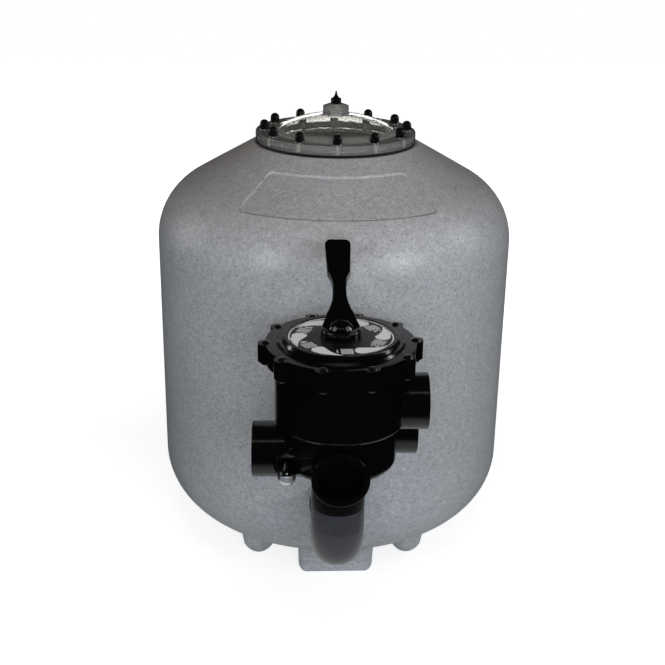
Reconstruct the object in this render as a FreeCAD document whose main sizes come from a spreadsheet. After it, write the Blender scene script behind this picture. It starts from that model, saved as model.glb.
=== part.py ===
"""Canister filter for a pond or aquarium: a moulded tank with a clear bolted lid and a six-way side valve.

The frame has Z up from the floor, the tank's axis on Z, and the valve in front, towards -Y.
"""
import FreeCAD
import Part
import math
import os
import re
import Sketcher

# Driving dimensions in millimetres and degrees, by sub-part
SIZES = {
    # tank
    "tank_radius": 300,
    "tank_wall": 7,
    "leg_height": 27.5,
    "belly_radius": 203,
    "knuckle_radius": 108,
    "knuckle_angle": 55.6,
    "side_height": 390,
    "shoulder_radius": 115,
    "cone_angle": 29.5,
    "neck_opening": 100,
    "neck_depth": 32,
    "neck_collar": 8,
    "neck_lip": 7.5,
    "foot_inset": 102.3,
    "foot_spread": 41.1,
    "foot_turn": 0.5,
    "foot_tip": 8,
    "foot_radius": 26,
    "foot_cone": 17,
    "foot_curve": 40,
    "foot_top_radius": 36,
    "foot_height": 70,
    "toe_turn": 1.5,
    "toe_half_width": 63.5,
    "toe_inset": 81,
    "toe_depth": 79,
    "toe_height": 66,
    "toe_flare": 28.3,
    "toe_steps": 4,
    "toe_corner": 14,
    "panel_overlap": 12.4,
    "panel_depth": 82,
    "panel_hollow": 3,
    "panel_sink": 2,
    "panel_angle": 75.4,
    "panel_corner": 9,
    "cut_overrun": 10,
    # neck ring, lid and its fixings
    "bolt_inset": 18.8,
    "bolt_count": 12,
    "gasket_inset": 3,
    "gasket_thickness": 4.5,
    "lid_margin": 14.7,
    "lid_thickness": 14.5,
    "lid_edge": 1.5,
    "dome_radius": 215,
    "dome_rise": 28,
    "dome_wall": 6,
    "dome_inset": 6,
    "spigot_wall": 5,
    "spigot_depth": 6,
    "boss_radius": 21.4,
    "boss_top_radius": 12.5,
    "boss_chamfer": 3.4,
    "boss_height": 15.7,
    "stud_radius": 4,
    "stud_hole_gap": 0.5,
    "insert_radius": 7,
    "insert_cover": 4.2,
    "insert_length": 22,
    "washer_radius": 7.6,
    "washer_thickness": 1,
    "nut_radius": 7.6,
    "nut_height": 15.2,
    "nut_roof": 3,
    "stud_end_gap": 4,
    # bleed plug
    "plug_head_radius": 8.6,
    "plug_head_height": 8.4,
    "plug_cone_radius": 2.2,
    "plug_cone_height": 6.5,
    "plug_tip_radius": 0.9,
    "plug_tip_height": 5.8,
    "plug_hollow": 9,
    "plug_shank_radius": 6,
    "plug_shank_length": 15,
    "plug_clearance": 0.1,
    "bleed_bore": 1.5,
    "bleed_bore_depth": 11,
    "ring_seat_radius": 8.9,
    "ring_seat_depth": 2.2,
    "bleed_ring_radius": 7.6,
    "bleed_ring_wire": 1.05,
    # ways through the tank's wall
    "pad_radius": 46,
    "pad_proud": 2,
    "pad_thickness": 24,
    "barrel_wall": 4.5,
    "union_rim": 4.5,
    "union_flange_thickness": 8,
    "seal_thickness": 3,
    "lock_nut_radius": 46,
    "lock_nut_length": 18,
    "barrel_reach": 12,
    "pipe_radius": 31.5,
    "pipe_wall": 4,
    "pipe_clearance": 0.1,
    "spigot_length": 35,
    "socket_depth": 38,
    # pipes and collector in the tank
    "riser_inset": 150,
    "riser_rise": 42.9,
    "riser_bend": 60,
    "diffuser_radius": 52,
    "diffuser_height": 44,
    "diffuser_wall": 4,
    "diffuser_collar": 16,
    "diffuser_slots": 12,
    "slot_width": 5,
    "slot_height": 24,
    "outlet_bend": 60,
    "hub_radius": 56,
    "hub_height": 52,
    "hub_foot_radius": 24,
    "lateral_level": 87,
    "lateral_radius": 14,
    "lateral_bore": 10,
    "lateral_start": 40,
    "lateral_inset": 102,
    "lateral_count": 8,
    "lateral_slots": 7,
    "lateral_slot_width": 3,
    "lateral_slot_depth": 8,
    "slot_overrun": 1,
    # elbow
    "elbow_wall": 7.2,
    "elbow_bend": 48,
    "elbow_level": 183.5,
    # valve body
    "valve_standoff": 144,
    "port_level": 353,
    "pump_rise": 28,
    "port_wall": 8.5,
    "port_edge": 1.2,
    "port_stop": 6.5,
    "port_reach": 123,
    "front_reach": 96,
    "front_socket_depth": 34,
    "return_reach": 116.5,
    "return_offset": 74,
    "inlet_offset": 42,
    "collar_wall": 7.6,
    "collar_length": 70,
    "chamber_drop": 18,
    "lower_inset": 10.5,
    "lower_edge": 12,
    "shelf_rise": 48,
    "upper_radius": 91.5,
    "upper_edge": 6,
    "valve_wall": 7,
    "flange_rise": 62.5,
    "flange_width": 12.5,
    "body_flange": 11.5,
    "lug_radius": 11,
    "screw_outset": 11.7,
    "screw_count": 10,
    "screw_turn": 14.3,
    "screw_hole_radius": 4.2,
    "centre_tube_wall": 4,
    "rib_thickness": 5,
    "rib_root": 1,
    "rib_count": 6,
    "rib_turn": 15,
    "seat_gasket": 3,
    "seat_ring_width": 8,
    "seat_ring_lap": 3,
    "cover_ring_inset": 1,
    "cover_ring_wire": 1.4,
    "cover_ring_gap": 0.2,
    # rotor
    "rotor_gap": 2.5,
    "rotor_thickness": 14,
    "rotor_hub_radius": 28,
    "rotor_hub_height": 15,
    "seat_gap": 0.1,
    "stem_radius": 13,
    "stem_clearance": 0.05,
    "stem_top_radius": 8.6,
    "window_radius": 15,
    "window_reach": 52,
    "channel_width": 30,
    "channel_depth": 8,
    "channel_reach": 66,
    "stem_ring_wire": 1.1,
    "stem_ring_gap": 9,
    # spring
    "spring_coil_radius": 18.5,
    "spring_wire": 1.5,
    "spring_turns": 6,
    "spring_washer_radius": 24,
    "spring_washer_thickness": 1.5,
    # cover
    "cover_flange": 15,
    "cover_spigot": 8,
    "cover_spigot_gap": 0.3,
    "cover_skin": 4,
    "cover_draft": 2,
    "cover_spigot_wall": 7,
    "terrace_inset": 5.5,
    "terrace_slope": 3,
    "terrace_height": 3.5,
    "rim_inset": 12,
    "rim_slope": 2,
    "rim_width": 6.1,
    "rim_height": 9.2,
    "rim_edge": 1.5,
    "dial_floor": 6,
    "tube_radius": 22,
    "tube_drop": 13.5,
    "screw_radius": 4,
    "screw_head_radius": 6.2,
    "screw_head_edge": 0.8,
    "screw_head_height": 3.6,
    "screw_nut_radius": 6.6,
    "screw_nut_height": 5,
    "screw_nut_edge": 1,
    # dial, slip washer and handle
    "dial_thickness": 1,
    "dial_gap": 0.6,
    "slip_washer_radius": 29,
    "slip_washer_thickness": 2,
    "slip_gap": 0.1,
    "hub_disc_radius": 27.4,
    "hub_disc_height": 12,
    "hub_disc_edge": 3,
    "dome_cap_radius": 17.65,
    "dome_cap_height": 11.5,
    "dome_cap_curve": 19.3,
    "pin_rise": 7,
    "pin_radius": 4,
    "pin_clearance": 0.05,
    "pin_length": 52,
    "stem_shoulder_drop": 3,
    "stem_above_pin": 6,
    "hollow_half_width": 9,
    "hollow_half_length": 11.2,
    "hollow_above_pin": 8.2,
    "handle_turn": 1.5,
    "lever_tilt": 36.1,
    "lever_length": 157.5,
    "lever_root": 26,
    "lever_root_length": 10,
    "lever_mid": 19,
    "lever_mid_reach": 31,
    "lever_waist": 9.8,
    "lever_waist_reach": 66,
    "lever_grip": 16.4,
    "lever_grip_reach": 98,
    "lever_tip": 18.6,
    "lever_corner": 9,
    "lever_thickness": 12,
    "lever_drop": 3.5,
    "lever_round": 3,
    "lever_under_cut": 52,
    "lever_root_curve": 120,
    "lever_neck_curve": 70,
    "lever_grip_curve": 60,
    # sight glass
    "sight_offset": 73,
    "sight_boss_radius": 19,
    "sight_boss_reach": 46,
    "sight_pad_wall": 5,
    "sight_pad_length": 32,
    "sight_seat_reach": 37,
    "sight_seat_radius": 16,
    "sight_bore": 9.8,
    "sight_radius": 12.5,
    "sight_wall": 2.4,
    "sight_length": 58,
    "sight_flange": 3,
    "sight_ring_head": 6,
    "sight_ring_edge": 1,
    "sight_seal_radius": 12.6,
    "sight_seal_wire": 1.2,
    "close_gap": 0.3,
}

# Sizes and places that follow from the driving dimensions
FOLLOWING = {
    # tank
    "knuckle_top": "leg_height + belly_radius - (belly_radius - knuckle_radius) * sin(knuckle_angle * 1deg)",
    "knuckle_centre": "tank_radius - knuckle_radius",
    "belly_centre": "knuckle_centre - (belly_radius - knuckle_radius) * cos(knuckle_angle * 1deg)",
    "side_top": "knuckle_top + side_height",
    "shoulder_top": "side_top + shoulder_radius * cos(cone_angle * 1deg)",
    "shoulder_end": "tank_radius - shoulder_radius + shoulder_radius * sin(cone_angle * 1deg)",
    "tank_floor": "leg_height + tank_wall",
    "foot_circle": "tank_radius - foot_inset",
    "toe_front": "tank_radius - toe_inset",
    "shoulder_centre": "tank_radius - shoulder_radius",
    "panel_outer": "shoulder_end + panel_overlap",
    "panel_inner": "panel_outer - panel_depth",
    # neck and lid
    "bolt_circle": "neck_opening + bolt_inset",
    "neck_ring_radius": "bolt_circle + insert_radius + insert_cover",
    "neck_collar_radius": "neck_ring_radius + neck_collar",
    "neck_radius": "neck_ring_radius + neck_lip",
    "neck_top": "shoulder_top + (shoulder_end - neck_radius) * tan(cone_angle * 1deg)",
    "gasket_inner": "neck_opening + gasket_inset",
    "lid_radius": "bolt_circle + lid_margin",
    "lid_bottom": "neck_top + gasket_thickness",
    "lid_top": "lid_bottom + lid_thickness",
    "dome_inside": "neck_opening - dome_inset",
    "dome_centre": "lid_top + dome_rise - dome_radius",
    "boss_top": "lid_top + dome_rise + boss_height",
    # pipes and wall unions
    "pipe_bore": "pipe_radius - pipe_wall",
    "pipe_socket": "pipe_radius + pipe_clearance",
    "pad_face": "tank_radius + pad_proud",
    "pad_back": "pad_face - pad_thickness",
    "barrel_radius": "pipe_socket + barrel_wall",
    "barrel_end": "pad_back - lock_nut_length - barrel_reach",
    "union_radius": "barrel_radius + union_rim",
    "union_face": "pad_face + seal_thickness + union_flange_thickness",
    "riser_reach": "tank_radius - riser_inset",
    "riser_top": "side_top + riser_rise",
    "lateral_end": "tank_radius - lateral_inset",
    "elbow_radius": "pipe_radius + elbow_wall",
    # valve body
    "valve_reach": "pad_face + valve_standoff",
    "port_radius": "pipe_radius + port_wall",
    "port_bore": "pipe_radius - port_stop",
    "collar_radius": "pipe_radius + collar_wall",
    "lower_radius": "upper_radius - lower_inset",
    "chamber_bottom": "port_level - chamber_drop",
    "chamber_floor": "chamber_bottom + valve_wall",
    "collar_bottom": "chamber_bottom - collar_length",
    "shelf_level": "port_level + shelf_rise",
    "pump_level": "shelf_level + pump_rise",
    "flange_bottom": "pump_level + flange_rise",
    "flange_top": "flange_bottom + body_flange",
    "flange_radius": "upper_radius + flange_width",
    "screw_circle": "upper_radius + screw_outset",
    "screw_dome": "screw_head_height - screw_head_edge",
    "screw_head_curve": "(screw_head_radius ^ 2 + screw_dome ^ 2) / (2 * screw_dome)",
    "centre_tube_radius": "port_bore + centre_tube_wall",
    "cover_ring_radius": "upper_radius - cover_ring_inset",
    "inlet_reach": "valve_reach - union_face",
    # rotor, cover, dial and handle
    "seat_level": "shelf_level + valve_wall",
    "rotor_radius": "upper_radius - valve_wall - rotor_gap",
    "rotor_bottom": "seat_level + seat_gasket + seat_gap",
    "rotor_hub_top": "rotor_bottom + rotor_thickness + rotor_hub_height",
    "tube_bottom": "flange_bottom - tube_drop",
    "cover_top": "flange_top + cover_flange",
    "terrace_radius": "upper_radius - terrace_inset",
    "rim_radius": "upper_radius - rim_inset",
    "rim_inner": "rim_radius - rim_width",
    "dial_bottom": "cover_top + dial_floor",
    "dial_radius": "rim_inner - dial_gap",
    "dial_hole": "slip_washer_radius + dial_gap",
    "hub_bottom": "dial_bottom + slip_washer_thickness + slip_gap",
    "pin_level": "hub_bottom + pin_rise",
}

VALVE_Y = "-valve_reach"
ORIGIN = FreeCAD.Vector(0, 0, 0)
UPRIGHT = FreeCAD.Rotation()
FORWARD = FreeCAD.Rotation(FreeCAD.Vector(1, 0, 0), 90)
BACKWARD = FreeCAD.Rotation(FreeCAD.Vector(1, 0, 0), -90)
RIGHTWARD = FreeCAD.Rotation(FreeCAD.Vector(0, 1, 0), 90)
LEFTWARD = FreeCAD.Rotation(FreeCAD.Vector(0, 1, 0), -90)

doc = FreeCAD.newDocument("canister_filter")
sub_parts = []


def fill_sheet():
    """Puts every driving dimension in the spreadsheet under its own alias."""
    sheet = doc.addObject("Spreadsheet::Sheet", "Sizes")
    for row, (name, value) in enumerate(SIZES.items(), 1):
        sheet.set(f"A{row}", name)
        sheet.set(f"B{row}", str(value))
        sheet.setAlias(f"B{row}", name)
    doc.recompute()


def bound(text):
    """Points every size in an expression at the sheet, and writes out the names that follow from others."""
    def meaning(word):
        name = word[0]
        if name in FOLLOWING:
            return "(" + bound(FOLLOWING[name]) + ")"
        return "Sizes." + name if name in SIZES else name
    return re.sub(r"[a-z][a-z_]*", meaning, text)


def value(piece, text):
    """The number that an expression of sizes gives now."""
    return float(piece.evalExpression(bound(text)))


def tie(piece, **ties):
    """Binds properties of an object to expressions of sizes."""
    for name, text in ties.items():
        piece.setExpression(name.replace("__", "."), bound(text))


def place(piece, x="0", y="0", z="0", facing=UPRIGHT, turn=None):
    """Gives an object its direction, and ties its place to the sizes."""
    piece.Placement = FreeCAD.Placement(ORIGIN, facing)
    if turn is not None:
        piece.Placement = FreeCAD.Placement(ORIGIN, FreeCAD.Rotation(FreeCAD.Vector(0, 0, 1), 1))
        tie(piece, Placement__Rotation__Angle=f"({turn}) * 1deg")
    for name, text in (("x", x), ("y", y), ("z", z)):
        if text != "0":
            tie(piece, **{"Placement__Base__" + name: text})
    return piece


def keep(piece, name):
    """Marks an object as a finished sub-part and gives it the sub-part's name."""
    piece.Label = name
    sub_parts.append(piece)
    return piece


def arc_between(start, end, radius, side):
    """The shorter arc between two points, with its centre on the named side of the way along it."""
    chord = end - start
    half = chord.Length / 2
    away = math.sqrt(max(radius ** 2 - half ** 2, 0))
    normal = FreeCAD.Vector(-chord.y, chord.x, 0).normalize()
    centre = (start + end) / 2 + normal * (away if side == "left" else -away)
    first, last = (start, end) if side == "left" else (end, start)
    circle = Part.Circle(centre, FreeCAD.Vector(0, 0, 1), radius)
    return Part.ArcOfCircle(circle, circle.parameter(first), circle.parameter(last))


def draw(sketch, corners):
    """Draws a closed outline with every corner tied to the sizes.

    A corner with a radius and a side is reached by an arc whose centre is on that side.
    """
    points = [FreeCAD.Vector(value(sketch, c[0]), value(sketch, c[1]), 0) for c in corners]
    ends = []
    for index, corner in enumerate(corners):
        start, end = points[index - 1], points[index]
        if len(corner) == 2:
            sketch.addGeometry(Part.LineSegment(start, end), False)
            ends.append((1, 2))
        else:
            arc = arc_between(start, end, value(sketch, corner[2]), corner[3])
            number = sketch.addGeometry(arc, False)
            radius = sketch.addConstraint(Sketcher.Constraint("Radius", number, arc.Radius))
            tie(sketch, **{f"Constraints[{radius}]": corner[2]})
            ends.append((1, 2) if corner[3] == "left" else (2, 1))
    for index, corner in enumerate(corners):
        after = (index + 1) % len(corners)
        sketch.addConstraint(Sketcher.Constraint("Coincident", index, ends[index][1], after, ends[after][0]))
        pin_point(sketch, index, ends[index][1], corner[0], corner[1])


def pin_point(sketch, number, end, x, y):
    """Ties one point of a sketch to the sizes, or to an axis where its distance is nothing."""
    for kind, text, axis in (("DistanceX", x, -2), ("DistanceY", y, -1)):
        if text == "0":
            sketch.addConstraint(Sketcher.Constraint("PointOnObject", number, end, axis))
        else:
            distance = Sketcher.Constraint(kind, -1, 1, number, end, value(sketch, text))
            tie(sketch, **{f"Constraints[{sketch.addConstraint(distance)}]": text})


def new_body(name):
    """A body that may hold several separate solids."""
    body = doc.addObject("PartDesign::Body", name)
    body.AllowCompound = True
    return body


def new_sketch(body, role, reach="0"):
    """A sketch on one of the body's own planes, moved outwards by reach."""
    sketch = body.newObject("Sketcher::SketchObject", body.Name + "_outline")
    plane = [item for item in body.Origin.OriginFeatures if item.Role == role][0]
    sketch.AttachmentSupport = [(plane, "")]
    sketch.MapMode = "FlatFace"
    if reach != "0":
        tie(sketch, AttachmentOffset__Base__x=reach)
    return sketch


def repeat(body, feature, count):
    """Repeats a feature evenly round the body's upright axis."""
    pattern = body.newObject("PartDesign::PolarPattern", body.Name + "_round")
    pattern.Originals = [feature]
    axis = [item for item in body.Origin.OriginFeatures if item.Role == "Z_Axis"][0]
    pattern.Axis = (axis, [""])
    pattern.Angle = 360
    tie(pattern, Occurrences=count)
    body.Tip = pattern


def turned(name, corners, reach="0", count=None, **where):
    """A piece turned on a lathe: corners are radius and height."""
    body = new_body(name)
    sketch = new_sketch(body, "XZ_Plane", reach)
    draw(sketch, corners)
    spin = body.newObject("PartDesign::Revolution", name + "_turning")
    spin.Profile = sketch
    spin.ReferenceAxis = (sketch, ["V_Axis"])
    spin.Angle = 360
    if count is not None:
        doc.recompute()
        repeat(body, spin, count)
    return place(body, **where)


def extruded(name, role, corners, depth, midplane=False, count=None, **where):
    """A piece of even depth: corners are its outline on one of its own planes."""
    body = new_body(name)
    sketch = new_sketch(body, role)
    draw(sketch, corners)
    pad = body.newObject("PartDesign::Pad", name + "_pad")
    pad.Profile = sketch
    pad.Midplane = midplane
    tie(pad, Length=depth)
    if count is not None:
        doc.recompute()
        repeat(body, pad, count)
    return place(body, **where)


def rod(name, radius, length, **where):
    """A plain round bar."""
    piece = doc.addObject("Part::Cylinder", name)
    tie(piece, Radius=radius, Height=length)
    return place(piece, **where)


def block(name, width, depth, height, **where):
    """A plain box from its lowest corner."""
    piece = doc.addObject("Part::Box", name)
    tie(piece, Length=width, Width=depth, Height=height)
    return place(piece, **where)


def ring(name, radius, wire, **where):
    """A round seal ring."""
    piece = doc.addObject("Part::Torus", name)
    tie(piece, Radius1=radius, Radius2=wire)
    return place(piece, **where)


def bend(name, bend_radius, radius, directions, **where):
    """A quarter bend of pipe; directions are where its start, its end and its axis point."""
    piece = doc.addObject("Part::Torus", name)
    piece.Angle3 = 90
    tie(piece, Radius1=bend_radius, Radius2=radius)
    facing = FreeCAD.Rotation(*[FreeCAD.Vector(*d) for d in directions], "XYZ")
    return place(piece, facing=facing, **where)


def joined(name, *pieces):
    """One solid from several that touch."""
    whole = doc.addObject("Part::MultiFuse", name)
    whole.Shapes = list(pieces)
    return whole


def carved(name, base, *tools):
    """What is left of a solid when others are taken from it."""
    whole = doc.addObject("Part::Cut", name)
    whole.Base = base
    whole.Tool = tools[0] if len(tools) == 1 else joined(name + "_tools", *tools)
    return whole


def common(name, first, second):
    """What two solids share."""
    whole = doc.addObject("Part::Common", name)
    whole.Base = first
    whole.Tool = second
    return whole


def tank_profile(wall):
    """Corners of the tank's outline, moved inwards by a wall, from the bottom up to the shoulder's top."""
    flat = f"leg_height + {wall}"
    knuckle_end = f"knuckle_centre + (knuckle_radius - {wall}) * cos(knuckle_angle * 1deg)"
    knuckle_level = f"knuckle_top - (knuckle_radius - {wall}) * sin(knuckle_angle * 1deg)"
    side = f"tank_radius - {wall}"
    return [
        ("0", flat),
        ("belly_centre", flat),
        (knuckle_end, knuckle_level, f"belly_radius - {wall}", "left"),
        (side, "knuckle_top", f"knuckle_radius - {wall}", "left"),
        (side, "side_top"),
        (*shoulder_start(wall), f"shoulder_radius - {wall}", "left"),
    ]


def shoulder_start(wall):
    """Where the cone meets the round shoulder, moved inwards by a wall."""
    radius = f"(shoulder_radius - ({wall}))"
    angle = "cone_angle * 1deg"
    return f"shoulder_centre + {radius} * sin({angle})", f"side_top + {radius} * cos({angle})"


def cone_height(radius, wall):
    """Height of the tank's cone at a radius, moved inwards by a wall."""
    end, level = shoulder_start(wall)
    return f"{level} + ({end} - {radius}) * tan(cone_angle * 1deg)"


def shoulder_height(wall):
    """Height of the tank's round shoulder at the panel's lower edge, moved inwards by a wall."""
    return f"side_top + sqrt((shoulder_radius - ({wall})) ^ 2 - (panel_outer - shoulder_centre) ^ 2)"


def make_panel(name, top, bottom):
    """Piece of the cone and the shoulder inside the panel's rounded outline, between two depths."""
    skin = turned(f"{name}_skin", [
        ("panel_inner", cone_height("panel_inner", bottom)),
        shoulder_start(bottom),
        ("panel_outer", shoulder_height(bottom), f"shoulder_radius - ({bottom})", "right"),
        ("panel_outer", shoulder_height(top)),
        (*shoulder_start(top), f"shoulder_radius - ({top})", "left"),
        ("panel_inner", cone_height("panel_inner", top)),
    ])
    corner = "panel_corner"
    side = "panel_angle * 1deg / 2"
    outer_turn = f"({side} - asin({corner} / (panel_outer - {corner})))"
    inner_turn = f"({side} - asin({corner} / (panel_inner + {corner})))"
    outer_reach = f"sqrt((panel_outer - {corner}) ^ 2 - {corner} ^ 2)"
    inner_reach = f"sqrt((panel_inner + {corner}) ^ 2 - {corner} ^ 2)"
    right = [
        (f"panel_outer * sin({outer_turn})", f"-panel_outer * cos({outer_turn})"),
        (f"{outer_reach} * sin({side})", f"-{outer_reach} * cos({side})"),
        (f"{inner_reach} * sin({side})", f"-{inner_reach} * cos({side})"),
        (f"panel_inner * sin({inner_turn})", f"-panel_inner * cos({inner_turn})"),
    ]
    left = [(f"-({x})", y) for x, y in reversed(right)]
    rounded = (corner, "left")
    curves = [("panel_outer", "left"), rounded, (), rounded, ("panel_inner", "right"), rounded, (), rounded]
    outline = [point + curve for point, curve in zip(right + left, curves)]
    prism = extruded(f"{name}_prism", "XY_Plane", outline, "neck_top - side_top", z="side_top")
    return common(name, skin, prism)


def wall_pads(name):
    """Thick flat places on the tank's wall for the two ways through it."""
    upper = rod(name + "_upper", "pad_radius", "pad_thickness", x="-inlet_offset", y="-pad_back",
                z="port_level", facing=FORWARD)
    lower = rod(name + "_lower", "pad_radius", "pad_thickness", y="-pad_back", z="elbow_level",
                facing=FORWARD)
    return [upper, lower]


def make_feet():
    """Four blunt feet that widen upwards, in two pairs across the tank's axis."""
    foot = [
        ("0", "0"),
        ("foot_tip", "0"),
        ("foot_radius", "foot_cone", "foot_curve", "left"),
        ("foot_top_radius", "foot_height"),
        ("0", "foot_height"),
    ]
    return [
        turned("feet_front_left", foot, reach="foot_circle", count="2", turn="foot_turn - 90 - foot_spread"),
        turned("feet_front_right", foot, reach="foot_circle", count="2", turn="foot_turn - 90 + foot_spread"),
    ]


def toe_outline(flare):
    """Plan of the front toe with its face moved forwards by a flare."""
    half = "toe_half_width"
    corner = "toe_corner"
    front = f"(toe_front + {flare})"
    return [
        (f"-{half} + {corner}", f"-{front}", corner, "left"),
        (f"{half} - {corner}", f"-{front}"),
        (half, f"-{front} + {corner}", corner, "left"),
        (half, "-toe_front + toe_depth"),
        (f"-{half}", "-toe_front + toe_depth"),
        (f"-{half}", f"-{front} + {corner}"),
    ]


def make_toe():
    """Broad front toe: its face curves forwards into the tank, and its lower corners are rounded."""
    body = new_body("toe_plan")
    sections = []
    for index in range(SIZES["toe_steps"] + 1):
        share = f"({index} / toe_steps)"
        sketch = new_sketch(body, "XY_Plane")
        draw(sketch, toe_outline(f"toe_flare * {share} ^ 2"))
        tie(sketch, AttachmentOffset__Base__z=f"toe_height * {share}")
        sections.append(sketch)
    loft = body.newObject("PartDesign::AdditiveLoft", "toe_loft")
    loft.Profile = sections[0]
    loft.Sections = sections[1:]
    loft.Ruled = True
    half = "toe_half_width"
    corner = "toe_corner"
    face = extruded("toe_face", "XZ_Plane", [
        (f"-{half} + {corner}", "0", corner, "left"),
        (f"{half} - {corner}", "0"),
        (half, corner, corner, "left"),
        (half, "toe_height"),
        (f"-{half}", "toe_height"),
        (f"-{half}", corner),
    ], "toe_front + toe_flare")
    return place(common("tank_toe", body, face), turn="toe_turn")


def make_tank_shell():
    """Rotomoulded tank: shell, neck, feet, front toe, wall pads and a bare hollow panel in one piece."""
    outside = turned("tank_outside", tank_profile("0") + [
        ("neck_radius", "neck_top"),
        ("0", "neck_top"),
    ])
    inside = turned("tank_inside", tank_profile("tank_wall") + [
        ("neck_collar_radius", cone_height("neck_collar_radius", "tank_wall")),
        ("neck_collar_radius", "neck_top - neck_depth"),
        ("neck_ring_radius", "neck_top - neck_depth"),
        ("neck_ring_radius", "neck_top"),
        ("0", "neck_top"),
    ])
    solid = joined("tank_solid", outside, *make_feet(), make_toe(), *wall_pads("pad"))
    panel_cut = make_panel("panel_cut", "-cut_overrun", "panel_hollow")
    panel_back = make_panel("panel_back", "tank_wall - panel_sink", "tank_wall + panel_hollow")
    room = carved("tank_room", inside, panel_back, *wall_pads("pad_inner"))
    through = "pad_thickness + 2 * cut_overrun"
    holes = [
        rod("tank_hole_upper", "barrel_radius", through, x="-inlet_offset", y="-pad_back + cut_overrun",
            z="port_level", facing=FORWARD),
        rod("tank_hole_lower", "barrel_radius", through, y="-pad_back + cut_overrun", z="elbow_level",
            facing=FORWARD),
    ]
    keep(carved("tank_shell", solid, room, panel_cut, *holes), "tank_shell")


def make_neck_ring():
    """Stiff ring moulded into the neck, with the holes for the inserts."""
    blank = turned("neck_ring_blank", [
        ("neck_opening", "0"),
        ("neck_ring_radius", "0"),
        ("neck_ring_radius", "neck_depth"),
        ("neck_opening", "neck_depth"),
    ], z="neck_top - neck_depth")
    holes = stud_ring("neck_ring_holes", "insert_radius", "insert_length", "neck_top - insert_length")
    keep(carved("neck_ring", blank, holes), "neck_ring")


def stud_ring(name, radius, length, level):
    """Bars on the lid's bolt circle, one of them at the front."""
    return turned(name, [("0", "0"), (radius, "0"), (radius, length), ("0", length)],
                  reach="bolt_circle", count="bolt_count", turn="-90", z=level)


def make_lid_fixings():
    """Brass inserts in the neck ring, and the studs, washers and dome nuts that hold the lid."""
    inserts = turned("lid_inserts", [
        ("stud_radius", "0"),
        ("insert_radius", "0"),
        ("insert_radius", "insert_length"),
        ("stud_radius", "insert_length"),
    ], reach="bolt_circle", count="bolt_count", turn="-90", z="neck_top - insert_length")
    keep(inserts, "lid_inserts")
    clamped = "gasket_thickness + lid_thickness + washer_thickness"
    stud_length = f"insert_length + {clamped} + nut_height - nut_roof - stud_end_gap"
    keep(stud_ring("lid_studs", "stud_radius", stud_length, "neck_top - insert_length"), "lid_studs")
    washers = turned("lid_washers", [
        ("stud_radius + close_gap", "0"),
        ("washer_radius", "0"),
        ("washer_radius", "washer_thickness"),
        ("stud_radius + close_gap", "washer_thickness"),
    ], reach="bolt_circle", count="bolt_count", turn="-90", z="lid_top")
    keep(washers, "lid_washers")
    nuts = turned("lid_nuts", [
        ("stud_radius", "0"),
        ("nut_radius", "0"),
        ("nut_radius", "nut_height - nut_radius"),
        ("0", "nut_height", "nut_radius", "left"),
        ("0", "nut_height - nut_roof"),
        ("stud_radius", "nut_height - nut_roof"),
    ], reach="bolt_circle", count="bolt_count", turn="-90", z="lid_top + washer_thickness")
    keep(nuts, "lid_nuts")


def make_lid_gasket():
    """Flat gasket with twelve holes, as wide as the lid's flange."""
    blank = turned("lid_gasket_blank", [
        ("gasket_inner", "0"),
        ("lid_radius", "0"),
        ("lid_radius", "gasket_thickness"),
        ("gasket_inner", "gasket_thickness"),
    ], z="neck_top")
    holes = stud_ring("lid_gasket_holes", "stud_radius + stud_hole_gap", "gasket_thickness", "neck_top")
    keep(carved("lid_gasket", blank, holes), "lid_gasket")


def make_lid():
    """Clear moulded lid: flange, spigot in the neck, dome and central boss."""
    crown = "(sqrt(dome_radius ^ 2 - (dome_radius - dome_rise) ^ 2))"
    meet = "(dome_centre + sqrt(dome_radius ^ 2 - boss_radius ^ 2))"
    under = "(dome_radius - dome_wall)"
    blank = turned("lid_blank", [
        ("dome_inside", "lid_bottom - spigot_depth"),
        ("dome_inside + spigot_wall", "lid_bottom - spigot_depth"),
        ("dome_inside + spigot_wall", "lid_bottom"),
        ("lid_radius", "lid_bottom"),
        ("lid_radius", "lid_top - lid_edge"),
        ("lid_radius - lid_edge", "lid_top", "lid_edge", "left"),
        (crown, "lid_top"),
        ("boss_radius", meet, "dome_radius", "left"),
        ("boss_radius", "boss_top - boss_chamfer"),
        ("boss_top_radius", "boss_top"),
        ("ring_seat_radius", "boss_top"),
        ("ring_seat_radius", "boss_top - ring_seat_depth"),
        ("plug_shank_radius + plug_clearance", "boss_top - ring_seat_depth"),
        ("plug_shank_radius + plug_clearance",
         f"dome_centre + sqrt({under} ^ 2 - (plug_shank_radius + plug_clearance) ^ 2)"),
        ("dome_inside", f"dome_centre + sqrt({under} ^ 2 - dome_inside ^ 2)", under, "right"),
    ])
    holes = stud_ring("lid_holes", "stud_radius + stud_hole_gap", "lid_thickness", "lid_bottom")
    keep(carved("lid", blank, holes), "lid")


def make_bleed_plug():
    """Air-bleed plug with a pointed grip and a bored shank, and the ring under its head."""
    head = "plug_head_height"
    cone = "(plug_head_height + plug_cone_height)"
    tip = f"({cone} + plug_tip_height)"
    plug = turned("bleed_plug", [
        ("bleed_bore", "-plug_shank_length"),
        ("plug_shank_radius", "-plug_shank_length"),
        ("plug_shank_radius", "plug_clearance"),
        ("plug_head_radius", "plug_clearance"),
        ("plug_head_radius", head),
        ("plug_cone_radius", cone, "plug_hollow", "right"),
        ("plug_tip_radius", tip),
        ("0", tip),
        ("0", "bleed_bore_depth - plug_shank_length"),
        ("bleed_bore", "bleed_bore_depth - plug_shank_length"),
    ], z="boss_top")
    keep(plug, "bleed_plug")
    seal = ring("bleed_oring", "bleed_ring_radius", "bleed_ring_wire", z="boss_top - ring_seat_depth / 2")
    keep(seal, "bleed_oring")


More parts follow.
